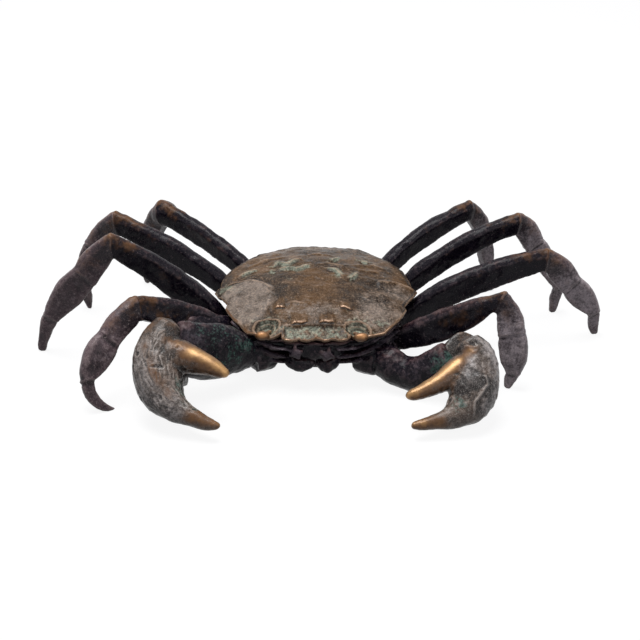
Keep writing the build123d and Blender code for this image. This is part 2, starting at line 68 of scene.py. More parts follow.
def traced(path, across, along, steps=14):
    """Points along a path of shares: one point in an entry is a line to it, two are an arc to the second."""
    points = [np.array(path[0][0])]
    for entry in path[1:]:
        a, c = points[-1], np.array(entry[-1])
        b = (a + c) / 2 if len(entry) == 1 else np.array(entry[0])
        t = np.linspace(0, 1, steps + 1)[1:, None]
        bow = 2 * b - (a + c) / 2
        points.extend((1 - t) ** 2 * a + 2 * t * (1 - t) * bow + t**2 * c)
    return np.array(points) * (across, along)


def grain(points, cell, seed):
    """Seeded random heights, -1 to 1, in soft bumps about one cell wide."""
    table = np.random.default_rng(seed).uniform(-1, 1, (32, 32, 32))
    place = points / cell
    low = np.floor(place).astype(int)
    part = place - low
    part = part * part * (3 - 2 * part)
    result = np.zeros(len(points))
    for corner in itertools.product((0, 1), repeat=3):
        weight = np.prod(np.where(corner, part, 1 - part), axis=1)
        result += weight * table[tuple(((low + corner) % 32).T)]
    return result


def rise(value, start, end):
    """0 before start, 1 after end, and a soft step between them."""
    t = np.clip((value - start) / (end - start), 0, 1)
    return t * t * (3 - 2 * t)


def away(places, route):
    """How far each place lies from a route of straight runs, and the share of the route passed there."""
    route = np.atleast_2d(np.array(route, float))
    if len(route) == 1:
        return np.linalg.norm(places - route[0], axis=1), np.zeros(len(places))
    runs = np.linalg.norm(np.diff(route, axis=0), axis=1)
    best, share = np.full(len(places), 1e9), np.zeros(len(places))
    for index, length in enumerate(runs):
        a, way = route[index], (route[index + 1] - route[index]) / length
        foot = np.clip((places - a) @ way, 0, length)
        gap = np.linalg.norm(places - a - foot[:, None] * way, axis=1)
        nearer = gap < best
        best[nearer] = gap[nearer]
        share[nearer] = (runs[:index].sum() + foot[nearer]) / runs.sum()
    return best, share


def stroke(places, route, width, height):
    """A soft line of relief along a route, fading out at both ends."""
    gap, share = away(places, route)
    return height * np.exp(-((gap / width) ** 2)) * np.sqrt(np.clip(4 * share * (1 - share) + 0.15, 0, 1))


def points_of(mesh):
    """A mesh's points as an array."""
    points = np.empty(len(mesh.vertices) * 3, np.float32)
    mesh.vertices.foreach_get("co", points)
    return points.reshape(-1, 3).astype(float)


def set_points(mesh, points):
    """Moves a mesh's points."""
    mesh.vertices.foreach_set("co", points.astype(np.float32).ravel())
    mesh.update()


def normals_of(mesh):
    """The way that the surface faces at each point."""
    normals = np.empty(len(mesh.vertices) * 3, np.float32)
    mesh.vertices.foreach_get("normal", normals)
    return normals.reshape(-1, 3).astype(float)


def push_out(mesh, lift):
    """Moves a mesh's points the way that its surface faces, each by its own lift or all by one."""
    set_points(mesh, points_of(mesh) + normals_of(mesh) * np.reshape(lift, (-1, 1)))


def edges_of(mesh):
    """The pairs of points that edges join."""
    edges = np.empty(len(mesh.edges) * 2, np.int32)
    mesh.edges.foreach_get("vertices", edges)
    return edges.reshape(-1, 2)


def eased(points, edges, rounds, share=0.5):
    """The points drawn towards the middle of their neighbours, round after round."""
    a, b = edges.T
    count = np.maximum(np.bincount(edges.ravel(), minlength=len(points)), 1)
    for _ in range(rounds):
        mean = np.empty_like(points)
        for axis in range(points.shape[1]):
            v = points[:, axis]
            total = np.bincount(a, v[b], len(points)) + np.bincount(b, v[a], len(points))
            mean[:, axis] = total / count
        points = points + share * (mean - points)
    return points


def mark(mesh, name, values):
    """Stores one number for each point, for the material to read."""
    attribute = mesh.attributes.new(name, "FLOAT", "POINT")
    attribute.data.foreach_set("value", values.astype(np.float32))


def mark_wear(mesh):
    """Stores how far each point stands out of what is close and lies under what is round it, and how far
    it faces up, which the materials turn into painted top light."""
    points, edges, normals = points_of(mesh), edges_of(mesh), normals_of(mesh)
    close = np.einsum("ij,ij->i", points - eased(points, edges, 5), normals)
    wide = np.einsum("ij,ij->i", points - eased(points, edges, 40), normals)
    mark(mesh, "wear", np.clip(close / 0.03, -2.5, 2.5))
    mark(mesh, "hollow", -wide / 0.15)
    mark(mesh, "up", normals[:, 2])


def mark_spots(mesh, name, spots, places=None):
    """Stores soft patches of colour along routes, each with a radius in millimetres and a strength."""
    places = points_of(mesh) if places is None else places
    values = np.zeros(len(places))
    for route, radius, strength in spots:
        gap, _ = away(places, route)
        values = np.maximum(values, strength * np.exp(-((gap / radius) ** 2)))
    mark(mesh, name, values)


def add_piece(name, mesh, nodes, material):
    """Turns a mesh in millimetres into the finished piece that stands for the CAD's nodes."""
    set_points(mesh, points_of(mesh) / 1000)
    mesh.name = name
    mesh.materials.clear()
    mesh.materials.append(material)
    mesh.polygons.foreach_set("use_smooth", [True] * len(mesh.polygons))
    piece = bpy.data.objects.new(name, mesh)
    bpy.context.scene.collection.objects.link(piece)
    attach(piece, "root")
    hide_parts(*nodes)


class Shade:
    """A value in a material's node tree. Sums and products of values become maths nodes."""

    def __init__(self, tree, socket):
        self.tree, self.socket = tree, socket

    def node(self, kind, settings=None, inputs=None, output=0):
        """Any other node: its settings first, then its sockets by name or number, as values or links."""
        made = self.tree.nodes.new(kind)
        for key, value in (settings or {}).items():
            setattr(made, key, value)
        for key, value in (inputs or {}).items():
            if isinstance(value, Shade):
                self.tree.links.new(value.socket, made.inputs[key])
            else:
                made.inputs[key].default_value = value
        return Shade(self.tree, made.outputs[output])

    def maths(self, operation, *values):
        return self.node("ShaderNodeMath", {"operation": operation}, dict(enumerate(values)))

    def __add__(self, other):
        return self.maths("ADD", self, other)

    def __radd__(self, other):
        return self.maths("ADD", other, self)

    def __sub__(self, other):
        return self.maths("SUBTRACT", self, other)

    def __rsub__(self, other):
        return self.maths("SUBTRACT", other, self)

    def __mul__(self, other):
        return self.maths("MULTIPLY", self, other)

    def __rmul__(self, other):
        return self.maths("MULTIPLY", other, self)

    def step(self, start, end):
        """0 below start, 1 above end, soft between."""
        inputs = {0: self, 1: start, 2: end}
        return self.node("ShaderNodeMapRange", {"interpolation_type": "SMOOTHSTEP"}, inputs)

    def mix(self, a, b):
        """Colour a where this is 0, b where it is 1."""
        settings = {"data_type": "RGBA", "clamp_factor": True}
        return self.node("ShaderNodeMix", settings, {0: self, 6: a, 7: b}, 2)


def tone(red, green, blue):
    """A colour as it shows on a screen, 0 to 255, in the units that materials use."""
    linear = [(c / 255 / 12.92) if c < 11 else ((c / 255 + 0.055) / 1.055) ** 2.4 for c in (red, green, blue)]
    return (*linear, 1.0)


def bronze(name, seed, deep, brown, ash, pale, gold, moss, rough, shine, lean, upper, clouds, rub=0.6):
    """Patinated cast bronze: deep in hollows, painted lighter brown where it faces up, as light from above,
    ash grey and moss green in zones, where the ash zone also holds painted highlights, darker in its zone
    of soot and painted shade, rubbed pale where its relief stands out, polished to metal in its gold zones.
    lean is how brown it is, upper how much lighter the painted top light makes it where it faces up, clouds
    how uneven that is, and rub how far the wear shows."""
    material = bpy.data.materials.new(name)
    material.use_nodes = True
    tree = material.node_tree
    principled = tree.nodes["Principled BSDF"]
    place = Shade(tree, principled.outputs[0]).node("ShaderNodeTexCoord", output=3)
    place = place.node("ShaderNodeMapping", inputs={0: place, 1: (seed, seed / 3, -seed)})

    def noise(scale, detail, roughness=0.6):
        return place.node("ShaderNodeTexNoise", inputs={0: place, 2: scale, 3: detail, 4: roughness})

    def zone(title):
        return place.node("ShaderNodeAttribute", {"attribute_name": title}, output=2)

    def varied(colour):
        darker, lighter = (tuple(min(c * share, 1.0) for c in colour[:3]) + (1.0,) for share in (0.55, 1.55))
        return (1.8 * speck + 1.8 * blotch + 0.5).step(0.0, 1.0).mix(darker, lighter)

    wear, hollow, up = zone("wear") - 1.5 * zone("soot"), zone("hollow"), zone("up")
    # Each noise, from clouds to grit, is taken round its mean of a half.
    cloud, blotch, mould = noise(60, 4) - 0.5, noise(260, 5) - 0.5, noise(330, 5, 0.7) - 0.5
    speck, grit = noise(1200, 3) - 0.5, noise(3000, 2) - 0.5
    # Painted top light: where a surface faces up, upper makes it lighter brown, as if lit from above.
    level = upper * up.step(0.2, 0.95) + clouds * cloud + 1.2 * blotch + 0.8 * speck + lean
    base = (level - 0.2 * hollow - zone("soot")).step(0.0, 1.0).mix(deep, brown)
    grey = (zone("ash") + 1.4 * blotch + 0.9 * speck).step(0.1, 1.0)
    base = grey.mix(base, varied(ash))
    green = (zone("moss") + 2.2 * mould + 1.6 * speck + 0.12 * hollow).step(0.3, 1.0)
    base = green.mix(base, varied(moss))
    # Wear lightens what stands out, and dirt stays in what lies low, down to single specks.
    base = (rub * (wear + 3.0 * blotch).step(0.2, 1.7)).mix(base, pale)
    base = (0.75 * (1.5 * speck - wear).step(0.3, 1.8)).mix(base, deep)
    # Single pale specks are painted sparkle: glints of light on the patina.
    base = (0.5 * speck.step(0.10, 0.22)).mix(base, pale)
    base = (0.4 * (0 - grit).step(0.0, 0.12)).mix(base, deep)
    base = (0.5 * rub * grit.step(0.02, 0.14)).mix(base, pale)
    # Polish first bares brown metal, and then gold under a thin lacquer.
    polish = zone("gold") + 1.3 * blotch + 0.06 * wear
    umber = (speck - blotch + 0.5).mix(tone(74, 50, 32), tone(132, 92, 56))
    base = polish.step(0.15, 0.7).mix(base, umber)
    rubbed = polish.step(0.55, 1.4)
    base = rubbed.mix(base, gold)
    bump = {"Strength": 0.6, "Distance": 0.00016, "Height": speck * 0.7 + grit * 0.3 + 0.5}
    dullness = (0.5 * blotch + 0.25 * green) * (1.0 - 0.85 * rubbed) + 0.08 * rubbed + rough
    for socket, value in (
            ("Base Color", base), ("Roughness", dullness), ("Metallic", 0.7 * rubbed),
            ("Coat Weight", 0.6 * rubbed), ("Normal", place.node("ShaderNodeBump", inputs=bump))):
        tree.links.new(value.socket, principled.inputs[socket])
    principled.inputs["Specular IOR Level"].default_value = shine
    principled.inputs["Coat Roughness"].default_value = 0.3
    return material


shell_bronze = bronze(
    "shell_bronze", seed=3.0, deep=tone(26, 16, 8), brown=tone(92, 63, 30), ash=tone(124, 112, 102),
    pale=tone(188, 160, 136), gold=tone(228, 190, 160), moss=tone(136, 142, 126),
    rough=0.34, shine=0.15, lean=0.08, upper=0.42, clouds=2.4, rub=0.48)


def crest_relief(places, middle, half, height):
    """A short crest, steep and bright in front, with a low mound behind it."""
    x, y = places[:, 0] - middle[0], places[:, 1] - middle[1]
    front = rise(y + 0.2 * np.sin(1.9 * x), -0.2, 0.05) * np.exp(-np.clip(y, 0, None) / 2.6)
    return height * front * rise(half - np.abs(x), -0.6, 0.9)


def orbit_relief(places, middle, radius):
    """An eye's round hollow, with a raised rim, a shelf and a second ring inside."""
    gap = np.linalg.norm((places - middle) * (1.0, 1.15), axis=1) + 0.4 * grain(in_plane(places), 2.4, 9)
    bowl = -1.9 * rise(radius - gap, 0.0, radius * 0.55)
    rim = 0.3 * np.exp(-(((gap - radius) / 0.5) ** 2))
    ring = 0.5 * np.exp(-(((gap - radius * 0.62) / 0.4) ** 2))
    return bowl + (rim + ring) * rise(places[:, 1] - middle[1], -2.5, 0.5)


# Each crest and each orbit is a middle with a half width or a radius.
crests = (((-11.5, -15.0), 1.5), ((9.6, -16.0), 1.8), ((-5.3, -23.0), 2.4), ((3.4, -23.0), 2.3))
orbits = (((13.3, -24.9), 4.2), ((-15.6, -23.6), 4.0))
lobe_middle = (-23.0, -9.5)
lobe_half_length = 13.5
# Worm-like scars with verdigris in them, and plain folds behind them.
scars = (
    [(-14.5, 11.0), (-12.5, 13.0), (-11.0, 11.5), (-9.0, 11.0), (-7.5, 13.0), (-5.0, 14.0)],
    [(-12.5, 8.0), (-9.5, 8.5), (-6.5, 7.0), (-4.0, 8.5), (-2.0, 9.5)],
    [(-25.0, 7.5), (-22.5, 9.5), (-19.5, 10.0)],
    [(-15.5, 8.0), (-13.0, 7.0)],
    [(3.5, 7.0), (6.5, 6.5), (8.0, 3.0), (6.0, 2.5)],
    [(5.0, 13.0), (7.5, 15.5)],
    [(15.0, 15.5), (17.5, 15.0)],
    [(10.0, 1.0), (12.0, 2.0), (13.5, 5.0)])
rear_folds = (
    [(0.5, 9.0), (4.0, 10.5), (8.5, 9.0), (11.0, 10.5)],
    [(12.5, 8.0), (17.0, 7.0), (21.0, 8.5)],
    [(-22, 14), (-17, 16.5), (-11, 17)],
    [(14, 11), (19, 12.5), (23, 11)],
    [(-5, 17), (0, 19), (6, 18)])
# Ridges and furrows: a route, a width, and a height that is negative where it lies low.
ridges = (
    ([(-31, 2.5), (-26.5, 3.5), (-22.0, 2.5), (-17.5, -0.5), (-14.5, -5.0)], 0.7, 0.45),
    ([(33, 1.5), (26.0, 2.5), (20.5, 1.5), (16.0, 2.0)], 1.3, 0.85),
    ([(31, -2.5), (26, -2.5), (21, -2.5), (16.5, -1.0)], 1.3, -0.45),
    ([(-9.5, -13.0), (-6.5, -12.5), (-3.5, -14.0)], 0.6, 0.35),
    ([(-13.0, -3), (-12.5, -9), (-14.5, -15), (-13.5, -19)], 1.4, -0.5),
    ([(11.5, -2), (13.0, -8), (14.5, -15)], 2.2, -0.35),
    ([(-9, 1.5), (-4, -1.0), (0, -0.5), (5, -1.5), (10, 0.5)], 1.6, -0.35))
# Patches of patina: a middle, the reach across and along, and a strength.
ash_patches = (
    ((0, -18.5), (13, 5.5), 0.75), ((20, -16), (10, 10), 0.75), ((27, -3), (6, 5), 0.7),
    ((0, 27), (26, 4), 0.5))
moss_patches = (
    ((13.3, -24.9), (5.2, 5.2), 0.9), ((-15.6, -23.6), (5.0, 5.0), 0.9), ((-29.5, 0.0), (3.6, 3.6), 0.7),
    ((20, -21), (3.5, 3.5), 0.5))


def in_plane(places):
    """The places with a height of 0, because grain needs all three measures."""
    return np.column_stack([places, np.zeros(len(places))])


def inside_lobe(places, half_width, unevenness):
    """Positive on the smooth lobe over the crab's right front, and 0 at its edge."""
    x, y = (places - lobe_middle).T
    return 1 - np.hypot(x / half_width, y / lobe_half_length) + unevenness * grain(in_plane(places), 3.0, 8)


def patch(places, middle, reach, strength):
    """A soft oval of patina."""
    x, y = ((places - middle) / reach).T
    return strength * np.exp(-(x**2) - y**2)


def shell_relief(places):
    """How far the carapace stands above or below its plain dome, in millimetres."""
    flat = in_plane(places)
    x, y = places.T
    relief = 0.42 * grain(flat, 7.0, 1) + 0.20 * grain(flat, 2.8, 2) + 0.08 * grain(flat, 1.1, 3)
    for route in rear_folds:
        relief += stroke(places, route, 0.9, 0.45)
    for middle, half in crests:
        relief += crest_relief(places, middle, half, 0.75)
    for middle, radius in orbits:
        relief += orbit_relief(places, middle, radius)
    relief += 0.8 * rise(inside_lobe(places, 10.0, 0.06), -0.04, 0.22)
    for route, width, height in ridges:
        relief += stroke(places, route, width, height)
    for route in scars:
        relief += stroke(places, route, 0.7, 0.6)
        relief -= stroke(places, np.array(route) - (0.2, 1.6), 1.0, 0.4)
    front_plate = rise(-23.6 - y, 0.0, 1.2) * rise(10.4 - np.abs(x), 0.0, 0.8)
    return relief - (0.5 - 0.12 * grain(flat, 0.9, 4)) * front_plate


def shell_zones(places):
    """Where the carapace is ash grey, moss green and rubbed to gold, and the painted shadow line in front of
    each crest.
    """
    x, y = places.T
    ash = 0.95 * rise(inside_lobe(places, 10.5, 0.1), -0.05, 0.25)
    for middle, reach, strength in ash_patches:
        ash = np.maximum(ash, patch(places, middle, reach, strength))
    moss = 0.6 * rise(-24.0 - y, -0.6, 0.8) * rise(10.8 - np.abs(x), 0, 1.5)
    for middle, reach, strength in moss_patches:
        moss = np.maximum(moss, patch(places, middle, reach, strength))
    for route in scars:
        moss = np.maximum(moss, stroke(places, route, 1.3, 1.15))
    gold, soot = np.zeros(len(places)), np.zeros(len(places))
    for middle, half in crests:
        off = y - middle[1] + 0.2 * np.sin(1.9 * (x - middle[0])) - 0.02
        inside = rise(half - np.abs(x - middle[0]), -0.3, 0.5)
        gold = np.maximum(gold, 1.5 * np.exp(-((off / 0.13) ** 2)) * inside)
        # A painted shadow line darkens the steep face just in front of each crest's gold lip.
        soot += 1.2 * np.exp(-(((off + 0.42) / 0.22) ** 2)) * inside
        brown = np.exp(-(((x - middle[0]) / (half + 0.6)) ** 2) - ((y - middle[1] - 2.0) / 2.2) ** 2)
        ash -= 1.2 * brown
    return ash, moss, gold, soot


def reach_of_margin(turn):
    """How far the shell's outline lies from its middle, for turns from the front to the crab's left."""
    half = traced(margin_share, carapace_width / 2, carapace_length / 2)
    outline = np.vstack([half, (half * (-1, 1))[-2:0:-1]])
    bearing = np.arctan2(outline[:, 0], -outline[:, 1]) % (2 * math.pi)
    order = np.argsort(bearing)
    return np.interp(turn, bearing[order], np.linalg.norm(outline, axis=1)[order], period=2 * math.pi)


def wrapped(rows, turns):
    """Faces over rows of points that close on themselves, with the next two points as the poles."""
    faces = []
    for row in range(rows - 1):
        for k in range(turns):
            n = (k + 1) % turns
            faces.append((row * turns + k, (row + 1) * turns + k, (row + 1) * turns + n, row * turns + n))
    first, last, tail = rows * turns, rows * turns + 1, (rows - 1) * turns
    for k in range(turns):
        n = (k + 1) % turns
        faces.append((first, k, n))
        faces.append((last, tail + n, tail + k))
    return faces


rolled_rim = ((-0.25, 0.25), (-0.30, 0.6), (-0.1, 0.95), (0.4, 1.25), (1.6, 1.5), (4.0, 1.2), (9.0, 0.4))
front_drawn_share = 0.045
front_raised = 0.7


def build_carapace(turns=640, rings=140):
    """The shell on a polar grid: the relief above, the rim rolled under, and a plain underside."""
    turn = np.linspace(0, 2 * math.pi, turns, endpoint=False)
    reach = reach_of_margin(turn)
    side_radius = (carapace_width**2 / 4 + side_fall**2) / (2 * side_fall)
    end_radius = ((carapace_length / 2 + crown_back) ** 2 + end_fall**2) / (2 * end_fall)
    rows, zones = [], []
    for share in np.linspace(0.01, 1, rings):
        flat = np.column_stack([np.sin(turn), -np.cos(turn)]) * (reach * share)[:, None]
        drop = side_radius - np.sqrt(side_radius**2 - flat[:, 0] ** 2)
        drop += end_radius - np.sqrt(end_radius**2 - (flat[:, 1] - crown_back) ** 2)
        top = crown_height - drop + shell_relief(flat) * rise(1.02 - share, 0, 0.03)
        ash, moss, gold, soot = shell_zones(flat)
        rim = rise(share, 0.985, 1.0) * rise(grain(np.column_stack([flat, top]), 3.0, 12), -0.5, 0.5)
        frontal = 0.2 + 0.9 * rise(-flat[:, 1], 6.0, 22.0)
        soot = soot + 1.3 * rise(share, 0.965, 0.99) * rise(flat[:, 1], -18.0, -6.0)
        zones.append(np.column_stack([ash, moss, np.maximum(gold, frontal * rim), soot]))
        rows.append(np.column_stack([flat, top]))
    edge = rows[-1]
    edge[:, 2] += 0.25 * grain(edge, 1.6, 9)
    for inset, fall in rolled_rim:
        flat = edge[:, :2] * (1 - inset / np.linalg.norm(edge[:, :2], axis=1))[:, None]
        rows.append(np.column_stack([flat, edge[:, 2] - fall]))
    points = np.vstack([*rows, [(0, 0, rows[0][:, 2].mean())], [(0, 0, rows[-1][:, 2].min() - 0.5)]])
    front = np.clip(-points[:, 1], 0, None) / (carapace_length / 2)
    points[:, 1] *= 1 - front_drawn_share * rise(front, 0, 1)
    points[:, 2] += front_raised * front
    mesh = bpy.data.meshes.new("carapace")
    mesh.from_pydata(in_file(points).tolist(), [], wrapped(len(rows), turns))
    mesh.update()
    zones = np.vstack(zones)
    zones = np.vstack([zones, np.zeros((len(points) - len(zones), 4))])
    for index, name in enumerate(("ash", "moss", "gold", "soot")):
        mark(mesh, name, zones[:, index])
    return mesh


carapace_mesh = build_carapace()
mark_wear(carapace_mesh)
add_piece("carapace_shell", carapace_mesh, ["carapace"], shell_bronze)

# Underbody and claw arms. The lower bronze shell with its leg bosses, the flanks under the rim, the
# mouthparts and the folded belly, and the two arms that are brazed to it. One skin is drawn round them all
# and is cut where the arms' castings meet the shell, so the pieces fit each other.
dark_bronze = bronze(
    "dark_bronze", seed=11.0, deep=tone(10, 6, 18), brown=tone(86, 54, 50), ash=tone(86, 78, 86),
    pale=tone(120, 104, 108), gold=tone(176, 128, 82), moss=tone(78, 108, 98),
    rough=0.27, shine=0.12, lean=-0.55, upper=0.8, clouds=0.9, rub=0.3)


def node_part(node):
    """A CAD node's solid, in millimetres, with its seams closed."""
    sheet = bmesh.new()
    sheet.from_mesh(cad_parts[node].data)
    bmesh.ops.remove_doubles(sheet, verts=sheet.verts, dist=1e-6)
    points = np.array([v.co for v in sheet.verts]) * 1000
    faces = [tuple(v.index for v in f.verts) for f in sheet.faces]
    sheet.free()
    return points, faces


def skin_round(parts, cell):
    """One closed skin round all the parts, in cells of this many millimetres, without islands inside."""
    points, faces, start = [], [], 0
    for part_points, part_faces in parts:
        points.extend(part_points.tolist())
        faces.extend(tuple(i + start for i in face) for face in part_faces)
        start += len(part_points)
    mesh = bpy.data.meshes.new("skin")
    mesh.from_pydata(points, [], faces)
    thing = bpy.data.objects.new("skin", mesh)
    bpy.context.scene.collection.objects.link(thing)
    modifier = thing.modifiers.new("skin", "REMESH")
    modifier.mode = "VOXEL"
    modifier.voxel_size = cell
    bpy.context.view_layer.update()
    skin = bpy.data.meshes.new_from_object(thing.evaluated_get(bpy.context.evaluated_depsgraph_get()))
    bpy.data.objects.remove(thing)
    bpy.data.meshes.remove(mesh)
    edges = edges_of(skin)
    label = np.arange(len(skin.vertices))
    while True:
        low = np.minimum(label[edges[:, 0]], label[edges[:, 1]])
        new = label.copy()
        np.minimum.at(new, edges[:, 0], low)
        np.minimum.at(new, edges[:, 1], low)
        new = new[new]
        if (new == label).all():
            break
        label = new
    main = np.bincount(label).argmax()
    sheet = bmesh.new()
    sheet.from_mesh(skin)
    sheet.verts.ensure_lookup_table()
    bmesh.ops.delete(sheet, geom=[sheet.verts[i] for i in np.flatnonzero(label != main)], context="VERTS")
    sheet.to_mesh(skin)
    sheet.free()
    return skin


def room_in(mesh):
    """The volume that a closed mesh holds, and its area."""
    mesh.calc_loop_triangles()
    corners = np.empty(len(mesh.loop_triangles) * 3, np.int32)
    mesh.loop_triangles.foreach_get("vertices", corners)
    a, b, c = (points_of(mesh)[corners.reshape(-1, 3)[:, i]] for i in range(3))
    cross = np.cross(b - a, c - a)
    return np.einsum("ij,ij->", a, cross) / 6, np.linalg.norm(cross, axis=1).sum() / 2


def soften(mesh, rounds):
    """Rounds a skin's edges and gives it back the volume that this took."""
    before, _ = room_in(mesh)
    set_points(mesh, eased(points_of(mesh), edges_of(mesh), rounds))
    after, area = room_in(mesh)
    push_out(mesh, (before - after) / area)


def roughen(mesh, heights, seed):
    """Moves a skin's points in and out by grains of several sizes: pairs of cell and height."""
    points = points_of(mesh)
    lift = sum(height * grain(points, cell, seed + index) for index, (cell, height) in enumerate(heights))
    push_out(mesh, lift)


def ball(middle, radii, turns=20, rings=12):
    """An ellipsoid as a part for a skin."""
    rows = []
    for ring in range(1, rings):
        angle = math.pi * ring / rings
        for k in range(turns):
            turn = 2 * math.pi * k / turns
            rows.append((math.sin(angle) * math.cos(turn), math.sin(angle) * math.sin(turn), math.cos(angle)))
    rows += [(0, 0, 1), (0, 0, -1)]
    return np.array(rows) * radii + middle, wrapped(rings - 1, turns)


def horn(stations, steps=40, turns=32):
    """A tapering limb through stations of place, half width and half depth, as a part for a skin.
    Its width lies in the plane of x and y, and its depth along z."""
    table = np.array([(*place, width, depth) for place, width, depth in stations], float)
    if table.shape[1] == 4:
        table = np.insert(table, 2, 0.0, axis=1)
    knots = np.concatenate([[0], np.cumsum(np.linalg.norm(np.diff(table[:, :3], axis=0), axis=1))])
    wide = np.vstack([2 * table[0] - table[1], table, 2 * table[-1] - table[-2]])
    rows = []
    for s in np.linspace(0, knots[-1], steps):
        i = min(np.searchsorted(knots, s, "right") - 1, len(knots) - 2)
        t = (s - knots[i]) / (knots[i + 1] - knots[i])
        a, b, c, d = wide[i:i + 4]
        bend, twist = 2 * a - 5 * b + 4 * c - d, 3 * b - a - 3 * c + d
        rows.append(0.5 * (2 * b + (c - a) * t + bend * t**2 + twist * t**3))
    rows = np.array(rows)
    way = np.gradient(rows[:, :3], axis=0)
    way /= np.linalg.norm(way, axis=1)[:, None]
    across = np.cross(way, (0, 0, 1))
    across /= np.linalg.norm(across, axis=1)[:, None]
    deep = np.cross(across, way)
    turn = np.linspace(0, 2 * math.pi, turns, endpoint=False)
    points = []
    for row, side, back in zip(rows, across, deep):
        width, depth = max(row[3], 0.2), max(row[4], 0.2)
        points.append(row[:3] + (np.cos(turn)[:, None] * side * width + np.sin(turn)[:, None] * back * depth))
    points.append(rows[:1, :3] - way[:1] * rows[0, 3] * 0.4)
    points.append(rows[-1:, :3] + way[-1:] * rows[-1, 3] * 0.6)
    return np.vstack(points), [face[:1] + face[:0:-1] for face in wrapped(steps, turns)]


flank_roundness = 29.5
flank_top = 0.3
flank_height = 12.0


def flank_part(levels=26, turns=260):
    """The slope under the rim, from side to side round the front, with low ridges that follow the rim."""
    turn = np.linspace(0, 2 * math.pi, turns, endpoint=False)
    reach = 0.5 * reach_of_margin(turn) + 0.5 * flank_roundness
    rows = []
    for share in np.linspace(0, 1, levels):
        inset = 0.96 - 0.34 * share**1.5 + 0.014 * math.cos(share * 26)
        flat = np.column_stack([np.sin(turn), -np.cos(turn)]) * (reach * inset)[:, None]
        rows.append(np.column_stack([flat, np.full(turns, flank_top - flank_height * share)]))
    points = np.vstack([*rows, [(0, 0, flank_top)], [(0, 0, flank_top - flank_height)]])
    return in_file(points), wrapped(levels, turns)


def facets_of(node):
    """The ways, middles and areas of a CAD node's triangles, in millimetres."""
    points, faces = node_part(node)
    corners = np.array([(f[0], f[i], f[i + 1]) for f in faces for i in range(1, len(f) - 1)])
    a, b, c = (points[corners[:, i]] for i in range(3))
    cross = np.cross(b - a, c - a)
    size = np.linalg.norm(cross, axis=1)
    keep = size > 1e-3
    return cross[keep] / size[keep, None], ((a + b + c) / 3)[keep], size[keep] / 2


def meeting(near, far):
    """The plane in which two castings stand back to back: its middle and the way from near to far."""
    (way_a, middle_a, area_a), (way_b, middle_b, area_b) = facets_of(near), facets_of(far)
    facing = way_a @ way_b.T < -0.9995
    gap = np.abs(np.einsum("ijk,ik->ij", middle_b[None] - middle_a[:, None], way_a)) < 0.02
    weight = np.where(facing & gap, np.minimum(area_a[:, None], area_b[None]), 0)
    best = np.unravel_index(weight.argmax(), weight.shape)
    way = way_a[best[0]]
    same = (way_a @ way > 0.9995) & (np.abs((middle_a - middle_a[best[0]]) @ way) < 0.02)
    return np.average(middle_a[same], axis=0, weights=area_a[same]), way


def split_at(mesh, planes, within=None):
    """Cuts a closed skin at planes, each a point and the way on, into the closed stretches between them.
    With within, a place and a radius for each plane, it takes off only what is beyond the plane round it."""
    rest = bmesh.new()
    rest.from_mesh(mesh)
    stretches = []
    for number, (point, way) in enumerate(planes):
        point, way = Vector(point), Vector(way)
        geom = rest.verts[:] + rest.edges[:] + rest.faces[:]
        bmesh.ops.bisect_plane(rest, geom=geom, plane_co=point, plane_no=way, dist=1e-5)
        taken = set()
        for index, face in enumerate(rest.faces):
            middle = face.calc_center_median()
            ahead = (middle - point).dot(way) > 0
            if within is None:
                ahead = not ahead
            elif ahead:
                ahead = (middle - Vector(within[number][0])).length < within[number][1]
            if ahead:
                taken.add(index)
        here = rest.copy()
        for sheet, keeps in ((here, True), (rest, False)):
            gone = [face for index, face in enumerate(sheet.faces) if (index in taken) != keeps]
            bmesh.ops.delete(sheet, geom=gone, context="FACES")
            rim = [edge for edge in sheet.edges if edge.is_boundary]
            for edge in rim:
                edge.smooth = False
            bmesh.ops.holes_fill(sheet, edges=rim, sides=0)
        stretches.append(here)
    stretches.append(rest)
    meshes = []
    for sheet in stretches:
        made = bpy.data.meshes.new("stretch")
        sheet.to_mesh(made)
        sheet.free()
        meshes.append(made)
    return meshes


def at_body(*place):
    """A place given from the table under the body's middle, in millimetres."""
    return body_middle + np.array(place)


# The mouthparts: two lumps, two stars with the length and angle of each point, and rims round the face.
face_parts = [ball(at_body(0, -24.5, 13.0), (8.5, 3.0, 3.4)), ball(at_body(-17, -19, 8), (5, 5, 4))]
stars = (
    ((-6.3, -27.2, 13.6), ((2.4, 100), (2.2, 20), (2.6, 200), (2.2, 300))),
    ((3.8, -27.2, 13.0), ((2.4, 75), (2.4, 160), (2.6, 340), (2.2, 240))))
for (x, y, z), star_points in stars:
    for reach, angle in star_points:
        turn = math.radians(angle)
        tip = at_body(x + reach * math.cos(turn), y - 0.8, z + reach * math.sin(turn))
        face_parts.append(horn([(at_body(x, y - 1.0, z), 1.15, 1.15), (tip, 0.65, 0.65)], steps=8, turns=10))
rims = []
for depth, low in ((-25.0, 11.2), (-23.8, 8.6), (-26.0, 14.4)):
    for sign in (-1, 1):
        rim = ((6.5, 0.0, 0.0), (13.5, 1.2, 0.3), (20.0, 5.0, 2.0), (26.0, 10.5, 4.5))
        rims.append([at_body(sign * x, depth + back, low + up) for x, back, up in rim])
        face_parts.append(horn([(place, 2.3, 0.6) for place in rims[-1]], steps=20, turns=10))
